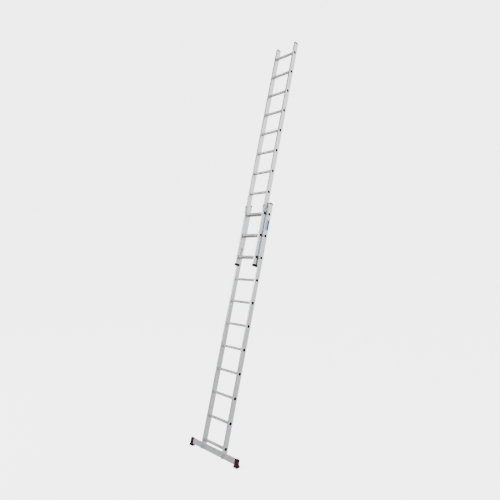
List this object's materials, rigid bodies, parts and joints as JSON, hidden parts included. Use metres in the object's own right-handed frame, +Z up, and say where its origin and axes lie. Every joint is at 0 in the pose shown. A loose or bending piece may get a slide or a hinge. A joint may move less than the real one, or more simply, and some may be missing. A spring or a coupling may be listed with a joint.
{
  "type": "extension ladder",
  "caption": "Two-section sliding ladder with nested box-section stringers, square rungs, guide brackets, swinging rung latches and a stabiliser bar on wide feet.",
  "frame": {"origin": "middle of the underside of the ladder's box: on the floor, half way between the feet and the leaning top", "axes": "+Z up, +X along the rungs to the climber's right, +Y away from the climber; the ladder leans back towards +Y at 75.25 degrees to the floor"},
  "size_m": [0.874, 1.3608, 5.1602],
  "materials": {
    "extruded_aluminium": "mill finish, long brushed lines",
    "rung_aluminium": "mill finish, ribbed along the rung",
    "wine_plastic": "moulded, fine grain",
    "black_plastic": "moulded, fine grain",
    "black_rubber": "matt",
    "galvanised_steel": "pressed and galvanised",
    "zinc_plated_steel": "zinc plated",
    "spring_steel": "drawn wire"
  },
  "bodies": {
    "base": {"base_rung_01": "rung_aluminium", "base_rung_02": "rung_aluminium", "base_rung_03": "rung_aluminium", "base_rung_04": "rung_aluminium", "base_rung_05": "rung_aluminium", "base_rung_06": "rung_aluminium", "base_rung_07": "rung_aluminium", "base_rung_08": "rung_aluminium", "base_rung_09": "rung_aluminium", "base_rung_10": "rung_aluminium", "base_rung_11": "rung_aluminium", "stabiliser_bar": "extruded_aluminium", "base_stringer_left": "extruded_aluminium", "base_top_cap_left": "wine_plastic", "guide_bracket_left": "galvanised_steel", "guide_rivet_left_1": "galvanised_steel", "guide_rivet_left_2": "galvanised_steel", "bar_bolt_left": "zinc_plated_steel", "bar_nut_left": "zinc_plated_steel", "stabiliser_foot_left": "wine_plastic", "foot_pad_left": "black_rubber", "base_stringer_right": "extruded_aluminium", "base_top_cap_right": "wine_plastic", "guide_bracket_right": "galvanised_steel", "guide_rivet_right_1": "galvanised_steel", "guide_rivet_right_2": "galvanised_steel", "bar_bolt_right": "zinc_plated_steel", "bar_nut_right": "zinc_plated_steel", "stabiliser_foot_right": "wine_plastic", "foot_pad_right": "black_rubber"},
    "fly": {"fly_rung_01": "rung_aluminium", "fly_rung_02": "rung_aluminium", "fly_rung_03": "rung_aluminium", "fly_rung_04": "rung_aluminium", "fly_rung_05": "rung_aluminium", "fly_rung_06": "rung_aluminium", "fly_rung_07": "rung_aluminium", "fly_rung_08": "rung_aluminium", "fly_rung_09": "rung_aluminium", "fly_rung_10": "rung_aluminium", "fly_rung_11": "rung_aluminium", "fly_stringer_left": "extruded_aluminium", "fly_top_cap_left": "black_plastic", "fly_shoe_left": "black_plastic", "fly_glide_left": "black_plastic", "latch_pin_left": "zinc_plated_steel", "latch_stop_left": "zinc_plated_steel", "latch_spring_left": "spring_steel", "fly_stringer_right": "extruded_aluminium", "fly_top_cap_right": "black_plastic", "fly_shoe_right": "black_plastic", "fly_glide_right": "black_plastic", "latch_pin_right": "zinc_plated_steel", "latch_stop_right": "zinc_plated_steel", "latch_spring_right": "spring_steel"},
    "latch_left": {"latch_hook_left": "zinc_plated_steel"},
    "latch_right": {"latch_hook_right": "zinc_plated_steel"}
  },
  "joints": [
    {"name": "fly_slide", "type": "slide", "parent": "base", "child": "fly", "axis": [0, 0.2546, 0.967], "range_m": [-2.24, 0]},
    {"name": "latch_swing_left", "type": "hinge", "parent": "fly", "child": "latch_left", "pos_m": [-0.1425, -0.04997, 2.39638], "axis": [1, 0, 0], "range_deg": [-25, 0], "stiffness_Nm_per_rad": 0.12, "springref_deg": 20.05},
    {"name": "latch_swing_right", "type": "hinge", "parent": "fly", "child": "latch_right", "pos_m": [0.1425, -0.04997, 2.39638], "axis": [1, 0, 0], "range_deg": [-25, 0], "stiffness_Nm_per_rad": 0.12, "springref_deg": 20.05}
  ]
}
